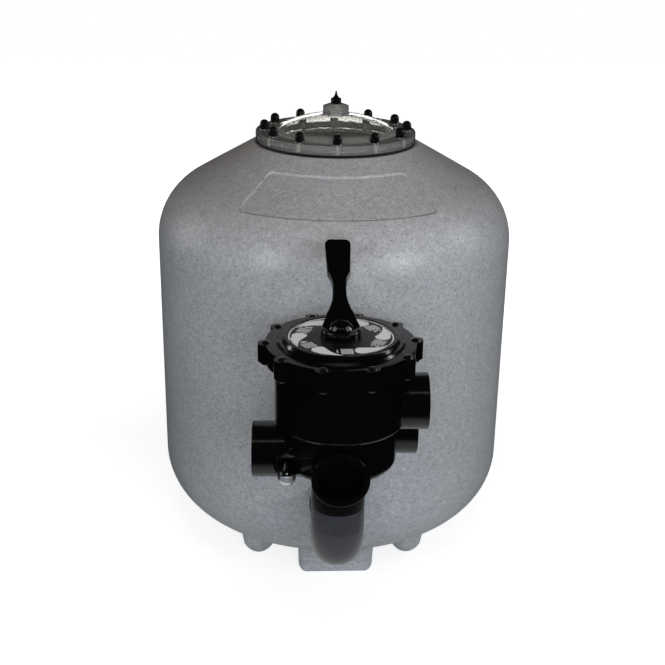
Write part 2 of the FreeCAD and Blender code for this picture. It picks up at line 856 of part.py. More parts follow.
def make_wall_union(name, x, level):
    """Bulkhead through the tank's wall, with its outer seal and its inner lock nut."""
    flange_back = "pad_face + seal_thickness"
    bulkhead = turned(name + "_bulkhead", [
        ("pipe_socket", "barrel_end"),
        ("barrel_radius", "barrel_end"),
        ("barrel_radius", flange_back),
        ("union_radius", flange_back),
        ("union_radius", "union_face"),
        ("pipe_radius", "union_face"),
        ("pipe_radius", "union_face + spigot_length"),
        ("pipe_bore", "union_face + spigot_length"),
        ("pipe_bore", "barrel_end + socket_depth"),
        ("pipe_socket", "barrel_end + socket_depth"),
    ], x=x, z=level, facing=FORWARD)
    keep(bulkhead, name + "_bulkhead")
    seal = turned(name + "_gasket", [
        ("barrel_radius", "pad_face"),
        ("union_radius", "pad_face"),
        ("union_radius", flange_back),
        ("barrel_radius", flange_back),
    ], x=x, z=level, facing=FORWARD)
    keep(seal, name + "_gasket")
    nut = turned(name + "_nut", [
        ("barrel_radius", "pad_back - lock_nut_length"),
        ("lock_nut_radius", "pad_back - lock_nut_length"),
        ("lock_nut_radius", "pad_back"),
        ("barrel_radius", "pad_back"),
    ], x=x, z=level, facing=FORWARD)
    keep(nut, name + "_nut")


def bent_pipe(name, x, level, reach, bend_radius, far_level, rising):
    """Pipe in the tank: from a wall union back to a quarter bend, then up or down."""
    up = 1 if rising else -1
    start = "(barrel_end + socket_depth)"
    sign = "+" if rising else "-"
    directions = [(0, 0, -up), (0, 1, 0), (up, 0, 0)]
    drop = f"{far_level} - ({level} + {bend_radius})" if rising else f"{level} - {bend_radius} - {far_level}"
    foot = f"{level} + {bend_radius}" if rising else far_level

    def run(part, radius):
        """The three stretches of the pipe at one radius."""
        return [
            rod(f"{name}_{part}_level", radius, f"{start} - {reach} - {bend_radius}", x=x, y=f"-{start}",
                z=level, facing=BACKWARD),
            bend(f"{name}_{part}_bend", bend_radius, radius, directions, x=x,
                 y=f"-{reach} - {bend_radius}", z=f"{level} {sign} {bend_radius}"),
            rod(f"{name}_{part}_upright", radius, drop, x=x, y=f"-{reach}", z=foot),
        ]

    skin = joined(name + "_skin", *run("outer", "pipe_radius"))
    way = joined(name + "_way", *run("inner", "pipe_bore"))
    keep(carved(name, skin, way), name)


def make_diffuser():
    """Slotted cap on the riser that spreads the water at the top of the tank."""
    wall = "diffuser_wall"
    shell = turned("diffuser_shell", [
        ("pipe_socket", "-diffuser_collar"),
        (f"pipe_radius + {wall}", "-diffuser_collar"),
        (f"pipe_radius + {wall}", "0"),
        ("diffuser_radius", "0"),
        ("diffuser_radius", "diffuser_height"),
        ("0", "diffuser_height"),
        ("0", f"diffuser_height - {wall}"),
        (f"diffuser_radius - {wall}", f"diffuser_height - {wall}"),
        (f"diffuser_radius - {wall}", wall),
        ("pipe_bore", wall),
        ("pipe_bore", "0"),
        ("pipe_socket", "0"),
    ], x="-inlet_offset", y="-riser_reach", z="riser_top")
    slots = extruded("diffuser_cuts", "XY_Plane", [
        (f"diffuser_radius - 2 * {wall}", "-slot_width / 2"),
        (f"diffuser_radius + {wall}", "-slot_width / 2"),
        (f"diffuser_radius + {wall}", "slot_width / 2"),
        (f"diffuser_radius - 2 * {wall}", "slot_width / 2"),
    ], "slot_height", count="diffuser_slots", x="-inlet_offset", y="-riser_reach",
        z="riser_top + (diffuser_height - slot_height) / 2")
    keep(carved("inlet_diffuser", shell, slots), "inlet_diffuser")


def make_collector():
    """Hub on the tank's floor and the slotted arms that screw into it."""
    bottom = "lateral_level - hub_height / 2"
    top = "lateral_level + hub_height / 2"
    blank = turned("hub_blank", [
        ("0", "tank_floor"),
        ("hub_foot_radius", "tank_floor"),
        ("hub_foot_radius", bottom),
        ("hub_radius", bottom),
        ("hub_radius", top),
        ("pipe_socket", top),
        ("pipe_socket", f"{top} - hub_height / 4"),
        ("pipe_bore", f"{top} - hub_height / 4"),
        ("pipe_bore", f"{bottom} + tank_wall"),
        ("0", f"{bottom} + tank_wall"),
    ])
    level = {"count": "lateral_count", "z": "lateral_level"}
    sockets = spokes("hub_sockets", "lateral_radius", "lateral_start", "hub_radius + lateral_radius", **level)
    ways = spokes("hub_ways", "lateral_bore", "pipe_bore / 2", "hub_radius", **level)
    keep(carved("collector_hub", blank, sockets, ways), "collector_hub")
    arms = spokes("lateral_arms", "lateral_radius", "lateral_start", "lateral_end", **level)
    bore_end = "lateral_end - lateral_radius + lateral_bore"
    bores = spokes("lateral_bores", "lateral_bore", "lateral_start", bore_end, **level)
    slots = []
    for index in range(SIZES["lateral_slots"]):
        reach = f"hub_radius + (lateral_end - lateral_radius - hub_radius) * {index + 1} / lateral_slots"
        slots.append(turned(f"lateral_slot_{index}", [
            (f"{reach} - lateral_slot_width / 2", "0"),
            (f"{reach} + lateral_slot_width / 2", "0"),
            (f"{reach} + lateral_slot_width / 2", "lateral_slot_depth"),
            (f"{reach} - lateral_slot_width / 2", "lateral_slot_depth"),
        ], z="lateral_level - lateral_radius - slot_overrun"))
    keep(carved("laterals", arms, bores, *slots), "laterals")


def spokes(name, radius, start, end, count=None, **where):
    """Round bars that lie like spokes round the body's upright axis."""
    body = new_body(name)
    sketch = new_sketch(body, "YZ_Plane")
    number = sketch.addGeometry(Part.Circle(ORIGIN, FreeCAD.Vector(0, 0, 1), value(body, radius)), False)
    sketch.addConstraint(Sketcher.Constraint("Coincident", number, 3, -1, 1))
    size = sketch.addConstraint(Sketcher.Constraint("Radius", number, value(body, radius)))
    tie(sketch, **{f"Constraints[{size}]": radius})
    tie(sketch, AttachmentOffset__Base__z=start)
    pad = body.newObject("PartDesign::Pad", name + "_pad")
    pad.Profile = sketch
    tie(pad, Length=f"{end} - ({start})")
    if count is not None:
        doc.recompute()
        repeat(body, pad, count)
    return place(body, **where)


def make_elbow():
    """Grey elbow that carries the valve's bottom port back to the tank's lower union."""
    straight = "valve_reach - elbow_bend - union_face"
    upright = "collar_bottom - elbow_level - elbow_bend"
    directions = [(0, 0, -1), (0, -1, 0), (-1, 0, 0)]
    centre_y = "-valve_reach + elbow_bend"
    centre_z = "elbow_level + elbow_bend"
    skin = joined(
        "elbow_skin",
        rod("elbow_back", "elbow_radius", straight, y="-union_face", z="elbow_level", facing=FORWARD),
        bend("elbow_turn", "elbow_bend", "elbow_radius", directions, y=centre_y, z=centre_z),
        rod("elbow_up", "elbow_radius", upright, y=VALVE_Y, z=centre_z),
        rod("elbow_spigot", "pipe_radius", f"{upright} + spigot_length", y=VALVE_Y, z=centre_z),
    )
    way = joined(
        "elbow_way",
        rod("elbow_socket", "pipe_socket", "socket_depth", y="-union_face", z="elbow_level", facing=FORWARD),
        rod("elbow_way_back", "pipe_bore", straight, y="-union_face", z="elbow_level", facing=FORWARD),
        bend("elbow_way_turn", "elbow_bend", "pipe_bore", directions, y=centre_y, z=centre_z),
        rod("elbow_way_up", "pipe_bore", f"{upright} + spigot_length", y=VALVE_Y, z=centre_z),
    )
    keep(carved("elbow", skin, way), "elbow")


def screw_bars(name, bottom, height, radius="lug_radius"):
    """Round bars on the cover's screw circle, for its lugs and for their holes."""
    return turned(name, [("0", "0"), (radius, "0"), (radius, height), ("0", height)],
                  reach="screw_circle", count="screw_count", turn="-90 - screw_turn", y=VALVE_Y, z=bottom)


def rimmed_bar(name, radius, length, edge, **where):
    """A round bar whose far end has a rounded rim."""
    return turned(name, [
        ("0", "0"),
        (radius, "0"),
        (radius, f"{length} - {edge}"),
        (f"{radius} - {edge}", length, edge, "left"),
        ("0", length),
    ], **where)


def port_rods(name, radius, starts, ends, edge=None):
    """Bars along the ports' axes; starts and ends are reaches for each port, and edge rounds their rims."""
    shapes = []
    for port, (facing, x, y, level) in PORTS.items():
        if port not in ends:
            continue
        start = starts.get(port, "0")
        dx = {"pump": start, "return": start, "waste": f"-({start})"}.get(port, "0")
        dy = {"front": f"-({start})", "inlet": start}.get(port, "0")
        length = f"{ends[port]} - ({start})"
        where = {"x": f"{x} + {dx}", "y": f"-valve_reach + {y} + {dy}", "z": level, "facing": facing}
        if edge is None:
            shapes.append(rod(f"{name}_{port}", radius, length, **where))
        else:
            shapes.append(rimmed_bar(f"{name}_{port}", radius, length, edge, **where))
    return shapes


PORTS = {
    "pump": (RIGHTWARD, "0", "0", "pump_level"),
    "waste": (LEFTWARD, "0", "0", "port_level"),
    "front": (FORWARD, "0", "0", "port_level"),
    "return": (RIGHTWARD, "0", "return_offset", "port_level"),
    "inlet": (BACKWARD, "-inlet_offset", "0", "port_level"),
}
PORT_ENDS = {
    "pump": "port_reach",
    "waste": "port_reach",
    "front": "front_reach",
    "return": "return_reach",
    "inlet": "inlet_reach",
}


def make_valve_body():
    """Valve body: two stacked chambers with a ribbed seat, five side ports, a bottom port and cover lugs."""
    outline = turned("valve_outline", [
        ("0", "chamber_bottom"),
        ("lower_radius - lower_edge", "chamber_bottom"),
        ("lower_radius", "chamber_bottom + lower_edge", "lower_edge", "left"),
        ("lower_radius", "shelf_level"),
        ("upper_radius - upper_edge", "shelf_level"),
        ("upper_radius", "shelf_level + upper_edge", "upper_edge", "left"),
        ("upper_radius", "flange_bottom"),
        ("flange_radius", "flange_bottom"),
        ("flange_radius", "flange_top"),
        ("0", "flange_top"),
    ], y=VALVE_Y)
    solid = joined(
        "valve_solid", outline, screw_bars("valve_lugs", "flange_bottom", "body_flange"),
        rod("valve_collar", "collar_radius", "chamber_bottom + valve_wall - collar_bottom", y=VALVE_Y,
            z="collar_bottom"),
        rod("valve_sight_boss", "sight_boss_radius", "sight_boss_reach", x="-sight_offset", y=VALVE_Y,
            z="port_level", facing=FORWARD),
        *port_rods("valve_tube", "port_radius", {}, PORT_ENDS, "port_edge"))
    chamber = turned("valve_chamber", [
        ("0", "chamber_floor"),
        ("lower_radius - valve_wall", "chamber_floor"),
        ("lower_radius - valve_wall", "seat_level"),
        ("upper_radius - valve_wall", "seat_level"),
        ("upper_radius - valve_wall", "flange_top"),
        ("0", "flange_top"),
    ], y=VALVE_Y)
    inner_ends = {
        "pump": "upper_radius - 2 * valve_wall",
        "waste": "lower_radius - 3 * valve_wall",
        "front": "lower_radius - 3 * valve_wall",
        "return": "2 * valve_wall",
        "inlet": "lower_radius / 2",
    }
    depth = {port: "socket_depth" for port in PORTS}
    depth["front"] = "front_socket_depth"
    socket_starts = {port: f"{PORT_ENDS[port]} - {depth[port]}" for port in PORTS}
    groove = "(cover_ring_wire + cover_ring_gap)"
    ways = [
        *port_rods("valve_way", "port_bore", inner_ends, PORT_ENDS),
        *port_rods("valve_socket", "pipe_socket", socket_starts, PORT_ENDS),
        rod("valve_bottom_socket", "pipe_socket", "socket_depth", y=VALVE_Y, z="collar_bottom"),
        rod("valve_bottom_way", "port_bore", "chamber_bottom + 2 * valve_wall - collar_bottom", y=VALVE_Y,
            z="collar_bottom"),
        rod("valve_sight_way", "sight_bore", "sight_boss_reach", x="-sight_offset", y=VALVE_Y, z="port_level",
            facing=FORWARD),
        screw_bars("valve_screw_holes", "flange_bottom", "body_flange", radius="screw_hole_radius"),
        turned("valve_ring_groove", [
            (f"cover_ring_radius - {groove}", "flange_top - 2 * cover_ring_wire"),
            (f"cover_ring_radius + {groove}", "flange_top - 2 * cover_ring_wire"),
            (f"cover_ring_radius + {groove}", "flange_top"),
            (f"cover_ring_radius - {groove}", "flange_top"),
        ], y=VALVE_Y),
        rod("sight_clearing", "sight_boss_radius + close_gap", "sight_pad_length / 2",
            x="-sight_offset", y="-valve_reach - sight_boss_reach", z="port_level", facing=FORWARD),
        rod("sight_seat", "sight_seat_radius + close_gap", "sight_boss_reach - sight_seat_reach",
            x="-sight_offset", y="-valve_reach - sight_seat_reach", z="port_level", facing=FORWARD),
        turned("sight_seal_groove", [
            ("sight_seal_radius - sight_seal_wire", "sight_seat_reach - 2 * sight_seal_wire"),
            ("sight_seal_radius + sight_seal_wire", "sight_seat_reach - 2 * sight_seal_wire"),
            ("sight_seal_radius + sight_seal_wire", "sight_seat_reach"),
            ("sight_seal_radius - sight_seal_wire", "sight_seat_reach"),
        ], x="-sight_offset", y=VALVE_Y, z="port_level", facing=FORWARD),
    ]
    tube = turned("valve_centre_tube", [
        ("port_bore", "chamber_floor"),
        ("centre_tube_radius", "chamber_floor"),
        ("centre_tube_radius", "seat_level"),
        ("port_bore", "seat_level"),
    ], y=VALVE_Y)
    ribs = extruded("valve_ribs", "XY_Plane", [
        ("port_bore + rib_root", "-rib_thickness / 2"),
        ("lower_radius - valve_wall + rib_root", "-rib_thickness / 2"),
        ("lower_radius - valve_wall + rib_root", "rib_thickness / 2"),
        ("port_bore + rib_root", "rib_thickness / 2"),
    ], "seat_level - chamber_floor", count="rib_count", y=VALVE_Y, z="chamber_floor",
        turn="rib_turn + 180 / rib_count")
    front_boss = rod("valve_front_boss", "port_radius - valve_wall / 2", "valve_wall + front_socket_depth",
                     y="-valve_reach - front_reach + front_socket_depth + valve_wall", z="port_level",
                     facing=FORWARD)
    sight_pad = rod("valve_sight_pad", "sight_boss_radius + sight_pad_wall", "sight_pad_length",
                    x="-sight_offset", y="-valve_reach - sight_boss_reach + sight_pad_length / 2",
                    z="port_level", facing=FORWARD)
    shell = carved("valve_shell", solid, carved("valve_room", chamber, front_boss, sight_pad))
    keep(carved("valve_body", joined("valve_ribbed", shell, tube, ribs), *ways), "valve_body")


def make_seat_gasket():
    """Star-shaped rubber seat on the valve's ribs."""
    thick = "seat_gasket"
    edge = "lower_radius - valve_wall"
    outer = turned("seat_outer", [
        (f"{edge} - seat_ring_lap", "0"),
        (f"{edge} - seat_ring_lap + seat_ring_width", "0"),
        (f"{edge} - seat_ring_lap + seat_ring_width", thick),
        (f"{edge} - seat_ring_lap", thick),
    ], y=VALVE_Y, z="seat_level")
    inner = turned("seat_inner", [
        ("port_bore", "0"),
        ("centre_tube_radius", "0"),
        ("centre_tube_radius", thick),
        ("port_bore", thick),
    ], y=VALVE_Y, z="seat_level")
    arms = extruded("seat_arms", "XY_Plane", [
        ("port_bore + rib_root", "-rib_thickness / 2"),
        (f"{edge} - rib_root", "-rib_thickness / 2"),
        (f"{edge} - rib_root", "rib_thickness / 2"),
        ("port_bore + rib_root", "rib_thickness / 2"),
    ], thick, count="rib_count", y=VALVE_Y, z="seat_level", turn="rib_turn + 180 / rib_count")
    keep(joined("spider_gasket", outer, inner, arms), "spider_gasket")


def make_rotor():
    """Diverter disc with a window, an underside channel and its stem, which is cross-drilled for the pin."""
    disc_top = "(rotor_bottom + rotor_thickness)"
    stem_top = "(pin_level + stem_above_pin)"
    groove = "2 * stem_ring_wire"
    low, high = stem_ring_levels()
    corners = [
        ("0", "rotor_bottom"),
        ("rotor_radius", "rotor_bottom"),
        ("rotor_radius", disc_top),
        ("rotor_hub_radius", disc_top),
        ("rotor_hub_radius", "rotor_hub_top"),
        ("stem_radius", "rotor_hub_top"),
    ]
    for level in (low, high):
        corners += [
            ("stem_radius", f"{level} - stem_ring_wire"),
            (f"stem_radius - {groove}", f"{level} - stem_ring_wire"),
            (f"stem_radius - {groove}", f"{level} + stem_ring_wire"),
            ("stem_radius", f"{level} + stem_ring_wire"),
        ]
    corners += [
        ("stem_radius", "dial_bottom - stem_shoulder_drop"),
        ("stem_top_radius", "dial_bottom - stem_shoulder_drop"),
        ("stem_top_radius", stem_top),
        ("0", stem_top),
    ]
    blank = turned("rotor_blank", corners, y=VALVE_Y)
    window = turned("rotor_window", [
        ("0", "0"),
        ("window_radius", "0"),
        ("window_radius", "rotor_thickness"),
        ("0", "rotor_thickness"),
    ], reach="window_reach", turn="rib_turn", y=VALVE_Y, z="rotor_bottom")
    channel = extruded("rotor_channel", "XY_Plane", [
        ("0", "-channel_width / 2"),
        ("channel_reach", "-channel_width / 2"),
        ("channel_reach", "channel_width / 2"),
        ("0", "channel_width / 2"),
    ], "channel_depth", y=VALVE_Y, z="rotor_bottom", turn="rib_turn + 720 / rib_count")
    hole = pin_bar("rotor_pin_hole", "pin_radius", "pin_length")
    keep(carved("rotor", blank, window, channel, hole), "rotor")
    seals = joined("stem_orings", *[
        ring(f"stem_ring_{name}", "stem_radius - stem_ring_wire", "stem_ring_wire", y=VALVE_Y, z=level)
        for name, level in (("low", low), ("high", high))])
    keep(seals, "stem_orings")


def stem_ring_levels():
    """Heights of the two seal rings on the stem, within the cover's bearing tube."""
    middle = "((tube_bottom + cover_top) / 2)"
    return f"{middle} - stem_ring_gap / 2", f"{middle} + stem_ring_gap / 2"


def pin_bar(name, radius, length):
    """A bar across the valve's axis at the handle pin's place."""
    half = f"({length}) / 2"
    return spokes(name, radius, f"-{half}", half, y=VALVE_Y, z="pin_level", turn="handle_turn")


def make_spring():
    """Compression spring round the stem, with a slip washer at each end."""
    washer = [
        ("stem_radius + close_gap", "0"),
        ("spring_washer_radius", "0"),
        ("spring_washer_radius", "spring_washer_thickness"),
        ("stem_radius + close_gap", "spring_washer_thickness"),
    ]
    keep(turned("spring_washer_lower", washer, y=VALVE_Y, z="rotor_hub_top"), "spring_washer_lower")
    upper = "(tube_bottom - spring_washer_thickness)"
    keep(turned("spring_washer_upper", washer, y=VALVE_Y, z=upper), "spring_washer_upper")
    bottom = "(rotor_hub_top + spring_washer_thickness + spring_wire)"
    spring = new_body("rotor_spring")
    sketch = new_sketch(spring, "XZ_Plane")
    wire = value(spring, "spring_wire")
    reach = value(spring, "spring_coil_radius")
    circle = Part.Circle(FreeCAD.Vector(reach, 0, 0), FreeCAD.Vector(0, 0, 1), wire)
    number = sketch.addGeometry(circle, False)
    size = sketch.addConstraint(Sketcher.Constraint("Radius", number, wire))
    tie(sketch, **{f"Constraints[{size}]": "spring_wire"})
    pin_point(sketch, number, 3, "spring_coil_radius", "0")
    helix = spring.newObject("PartDesign::AdditiveHelix", "rotor_spring_coil")
    helix.Profile = sketch
    helix.ReferenceAxis = (sketch, ["V_Axis"])
    helix.Mode = "height-turns-angle"
    tie(helix, Height=f"{upper} - spring_wire - {bottom}", Turns="spring_turns")
    keep(place(spring, y=VALVE_Y, z=bottom), "rotor_spring")


def make_cover():
    """Valve cover: lugged flange, spigot, terrace, dial rim and the stem's bearing tube."""
    bore = "stem_radius + stem_clearance"
    inner = "upper_radius - valve_wall - cover_spigot_gap"
    blank = turned("cover_blank", [
        (bore, "tube_bottom"),
        ("tube_radius", "tube_bottom"),
        ("tube_radius + cover_draft", "cover_top - cover_skin"),
        (f"{inner} - cover_spigot_wall", "cover_top - cover_skin"),
        (f"{inner} - cover_spigot_wall + cover_draft", "flange_top - cover_spigot"),
        (inner, "flange_top - cover_spigot"),
        (inner, "flange_top"),
        ("flange_radius", "flange_top"),
        ("flange_radius", "cover_top"),
        ("terrace_radius + terrace_slope", "cover_top"),
        ("terrace_radius", "cover_top + terrace_height"),
        ("rim_radius + rim_slope", "cover_top + terrace_height"),
        ("rim_radius", "cover_top + rim_height - rim_edge"),
        ("rim_radius - rim_edge", "cover_top + rim_height", "rim_edge", "left"),
        ("rim_inner", "cover_top + rim_height"),
        ("rim_inner", "dial_bottom"),
        (bore, "dial_bottom"),
    ], y=VALVE_Y)
    solid = joined("cover_solid", blank, screw_bars("cover_lugs", "flange_top", "cover_flange"))
    holes = screw_bars("cover_screw_holes", "flange_top", "cover_flange", radius="screw_hole_radius")
    keep(carved("valve_cover", solid, holes), "valve_cover")
    seal = ring("cover_oring", "cover_ring_radius", "cover_ring_wire", y=VALVE_Y,
                z="flange_top - cover_ring_wire")
    keep(seal, "cover_oring")


def make_cover_fixings():
    """Screws down through the cover's lugs, and the nuts under the body's lugs."""
    length = "body_flange + cover_flange + screw_nut_height"
    screws = turned("cover_screws", [
        ("0", "0"),
        ("screw_radius", "0"),
        ("screw_radius", length),
        ("screw_head_radius", length),
        ("screw_head_radius", f"{length} + screw_head_edge"),
        ("0", f"{length} + screw_head_height", "screw_head_curve", "left"),
    ], reach="screw_circle", count="screw_count", turn="-90 - screw_turn", y=VALVE_Y,
        z="flange_bottom - screw_nut_height")
    keep(screws, "cover_screws")
    nuts = turned("cover_nuts", [
        ("screw_radius", "0"),
        ("screw_nut_radius - screw_nut_edge", "0"),
        ("screw_nut_radius", "screw_nut_edge", "screw_nut_edge", "left"),
        ("screw_nut_radius", "screw_nut_height"),
        ("screw_radius", "screw_nut_height"),
    ], reach="screw_circle", count="screw_count", turn="-90 - screw_turn", y=VALVE_Y,
        z="flange_bottom - screw_nut_height")
    keep(nuts, "cover_nuts")


def make_dial():
    """Round label plate in the cover's recess, and the slip washer under the handle."""
    dial = turned("dial_plate", [
        ("dial_hole", "0"),
        ("dial_radius", "0"),
        ("dial_radius", "dial_thickness"),
        ("dial_hole", "dial_thickness"),
    ], y=VALVE_Y, z="dial_bottom")
    keep(dial, "dial_plate")
    washer = turned("handle_washer", [
        ("stem_radius + close_gap", "0"),
        ("slip_washer_radius", "0"),
        ("slip_washer_radius", "slip_washer_thickness"),
        ("stem_radius + close_gap", "slip_washer_thickness"),
    ], y=VALVE_Y, z="dial_bottom")
    keep(washer, "handle_washer")


def lever_outline():
    """Outline of the lever seen square on, from its root to its tip; the handle pin is at nothing."""
    side = [
        ("lever_root", "0"),
        ("lever_root", "lever_root_length"),
        ("lever_mid", "lever_mid_reach"),
        ("lever_waist", "lever_waist_reach"),
        ("lever_grip", "lever_grip_reach"),
        ("lever_tip", "lever_length - lever_corner"),
        ("lever_tip - lever_corner", "lever_length"),
    ]
    root = ("lever_root_curve", "right")
    neck = ("lever_neck_curve", "right")
    grip = ("lever_grip_curve", "right")
    corner = ("lever_corner", "left")
    rising = [(), (), root, neck, grip, (), corner]
    falling = [(), corner, (), grip, neck, root, ()]
    other_side = [(f"-({x})", y) for x, y in reversed(side)]
    return [point + curve for point, curve in zip(side + other_side, rising + falling)]


def make_handle():
    """Lever handle: hub disc with a domed cap over the stem, and a waisted lever that rises to the back."""
    top = "hub_disc_height"
    hub = turned("handle_hub", [
        ("0", "0"),
        ("hub_disc_radius", "0"),
        ("hub_disc_radius", f"{top} - hub_disc_edge"),
        ("hub_disc_radius - hub_disc_edge", top, "hub_disc_edge", "left"),
        ("dome_cap_radius", top),
        ("0", f"{top} + dome_cap_height", "dome_cap_curve", "left"),
    ])
    lever = extruded("handle_lever", "XY_Plane", lever_outline(), "lever_thickness", midplane=True)
    rounding = lever.newObject("PartDesign::Fillet", "lever_rounding")
    rounding.Base = (lever.Group[1], ["Face1"])
    rounding.UseAllEdges = True
    tie(rounding, Radius="lever_round")
    lever.Tip = rounding
    lever.Placement = FreeCAD.Placement(ORIGIN, FreeCAD.Rotation(FreeCAD.Vector(1, 0, 0), 1))
    tie(lever, Placement__Rotation__Angle="lever_tilt * 1deg", Placement__Base__z="pin_rise - lever_drop")
    cut = "lever_under_cut"
    floor = block("handle_floor", f"2 * {cut}", f"2 * {cut}", cut, x=f"-{cut}", y=f"-{cut}", z=f"-{cut}")
    solid = carved("handle_solid", joined("handle_rough", hub, lever), floor)
    hollow = block("handle_hollow", "2 * hollow_half_width", "2 * hollow_half_length",
                   "pin_rise + hollow_above_pin", x="-hollow_half_width", y="-hollow_half_length")
    hole = spokes("handle_pin_hole", "pin_radius + pin_clearance", "-2 * hub_disc_radius",
                  "2 * hub_disc_radius", z="pin_rise")
    handle = place(carved("handle", solid, hollow, hole), y=VALVE_Y, z="hub_bottom", turn="handle_turn")
    keep(handle, "handle")
    keep(pin_bar("handle_pin", "pin_radius", "pin_length"), "handle_pin")


def make_sight_glass():
    """Clear cup on the waste port, its seal, and the gland nut that holds its flange."""
    seat = "sight_seat_reach"
    lip = f"({seat} + sight_flange)"
    end = f"({seat} + sight_length)"
    face = "sight_boss_reach"
    inner = "(sight_radius - sight_wall)"
    loose = "sight_radius + close_gap"
    where = {"x": "-sight_offset", "y": VALVE_Y, "z": "port_level", "facing": FORWARD}
    glass = turned("sight_glass", [
        (inner, seat),
        ("sight_seat_radius", seat),
        ("sight_seat_radius", lip),
        ("sight_radius", lip),
        ("sight_radius", f"{end} - sight_radius"),
        ("0", end, "sight_radius", "left"),
        ("0", f"{end} - sight_wall"),
        (inner, f"{end} - sight_radius", inner, "right"),
    ], **where)
    keep(glass, "sight_glass")
    nut = turned("sight_ring", [
        (loose, lip),
        ("sight_seat_radius", lip),
        ("sight_seat_radius", face),
        ("sight_boss_radius", face),
        ("sight_boss_radius", f"{face} + sight_ring_head - sight_ring_edge"),
        ("sight_boss_radius - sight_ring_edge", f"{face} + sight_ring_head", "sight_ring_edge", "left"),
        (loose, f"{face} + sight_ring_head"),
    ], **where)
    keep(nut, "sight_ring")
    seal = ring("sight_oring", "sight_seal_radius", "sight_seal_wire", x="-sight_offset",
                y=f"-valve_reach - {seat} + sight_seal_wire", z="port_level", facing=FORWARD)
    keep(seal, "sight_oring")


def check_document():
    """Stops at any object that failed, and at any sub-part without a sound shape."""
    doc.recompute()
    for piece in doc.Objects:
        if "Invalid" in piece.State or "Error" in piece.State:
            raise RuntimeError(f"{piece.Label} is in state {piece.State}")
    for piece in sub_parts:
        if piece.Shape.isNull() or not piece.Shape.isValid() or piece.Shape.Volume <= 0:
            raise RuntimeError(f"{piece.Label} has no sound shape")


def export_parts():
    """Writes one STEP file for each sub-part."""
    os.makedirs("parts", exist_ok=True)
    for piece in sub_parts:
        piece.Shape.exportStep(f"parts/{piece.Label}.step")
        print(piece.Label, "solids", len(piece.Shape.Solids), "volume", round(piece.Shape.Volume))


fill_sheet()
make_tank_shell()
make_neck_ring()
make_lid_fixings()
make_lid_gasket()
make_lid()
make_bleed_plug()
make_wall_union("inlet", "-inlet_offset", "port_level")
make_wall_union("outlet", "0", "elbow_level")
bent_pipe("inlet_riser", "-inlet_offset", "port_level", "riser_reach", "riser_bend", "riser_top", True)
bent_pipe("outlet_pipe", "0", "elbow_level", "0", "outlet_bend", "(lateral_level + hub_height / 4)", False)
make_diffuser()
make_collector()
make_elbow()
make_valve_body()
make_seat_gasket()
make_rotor()
make_spring()
make_cover()
make_cover_fixings()
make_dial()
make_handle()
make_sight_glass()
check_document()
export_parts()
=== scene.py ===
"""Looks of the canister filter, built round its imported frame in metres, from the tank outwards."""
import math

import bmesh
import bpy
from mathutils import Matrix, Vector


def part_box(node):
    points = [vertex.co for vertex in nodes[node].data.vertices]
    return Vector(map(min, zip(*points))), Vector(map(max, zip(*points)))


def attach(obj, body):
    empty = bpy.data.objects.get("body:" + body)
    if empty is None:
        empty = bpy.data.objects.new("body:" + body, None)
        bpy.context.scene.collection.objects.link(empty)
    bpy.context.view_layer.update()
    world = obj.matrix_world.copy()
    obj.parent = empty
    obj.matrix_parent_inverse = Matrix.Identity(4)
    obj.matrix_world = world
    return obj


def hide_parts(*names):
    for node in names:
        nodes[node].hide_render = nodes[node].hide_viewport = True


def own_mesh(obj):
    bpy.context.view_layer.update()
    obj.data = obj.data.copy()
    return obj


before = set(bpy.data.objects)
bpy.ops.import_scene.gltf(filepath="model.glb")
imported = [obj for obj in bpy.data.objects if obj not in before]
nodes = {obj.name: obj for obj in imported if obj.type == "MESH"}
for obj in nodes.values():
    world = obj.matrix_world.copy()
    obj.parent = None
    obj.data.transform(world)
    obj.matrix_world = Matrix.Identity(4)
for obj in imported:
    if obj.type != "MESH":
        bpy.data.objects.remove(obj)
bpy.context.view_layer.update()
MM = 0.001


# Tank: one rotomoulded shell of stone-effect polyethylene, made from mixed pellets that melt
# side by side, so grains of several greys show in its skin.
# The mould leaves a soft gloss with a faint orange peel.
def linear(code):
    """An sRGB hex colour as the linear colour that shaders read."""
    parts = [int(code[place:place + 2], 16) / 255 for place in (1, 3, 5)]
    return [part / 12.92 if part <= 0.04045 else ((part + 0.055) / 1.055) ** 2.4 for part in parts] + [1.0]


def add_node(material, kind, values=(), links=(), **settings):
    """Adds a shader node with its settings, the values of its sockets and the links into them."""
    node = material.node_tree.nodes.new(kind)
    for name, setting in settings.items():
        setattr(node, name, setting)
    for socket, number in dict(values).items():
        node.inputs[socket].default_value = number
    for socket, source in dict(links).items():
        material.node_tree.links.new(source, node.inputs[socket])
    return node


def new_finish(name, **values):
    """A material with its shader, the shader's own values, and the object coordinates for its patterns."""
    material = bpy.data.materials.new(name)
    material.use_nodes = True
    shader = material.node_tree.nodes["Principled BSDF"]
    for socket, number in values.items():
        shader.inputs[socket.replace("_", " ")].default_value = number
    place = add_node(material, "ShaderNodeTexCoord").outputs["Object"]
    return material, shader, place


def grains(size):
    """Scale of a pattern whose grains are this many millimetres across."""
    return 1 / (size * MM)


def shades(material, factor, stops, blend="LINEAR"):
    """A ramp through colours at their places, read by a factor."""
    ramp = add_node(material, "ShaderNodeValToRGB", links={"Fac": factor})
    ramp.color_ramp.interpolation = blend
    points = ramp.color_ramp.elements
    while len(points) < len(stops):
        points.new(0.5)
    for point, (place, code) in zip(points, stops):
        point.position = place
        point.color = linear(code)
    return ramp.outputs["Color"]


def roughen(material, shader, pattern, low, high):
    """Lets the gloss vary between two roughnesses with a pattern."""
    spread = add_node(material, "ShaderNodeMapRange", {"To Min": low, "To Max": high}, {"Value": pattern})
    material.node_tree.links.new(spread.outputs["Result"], shader.inputs["Roughness"])


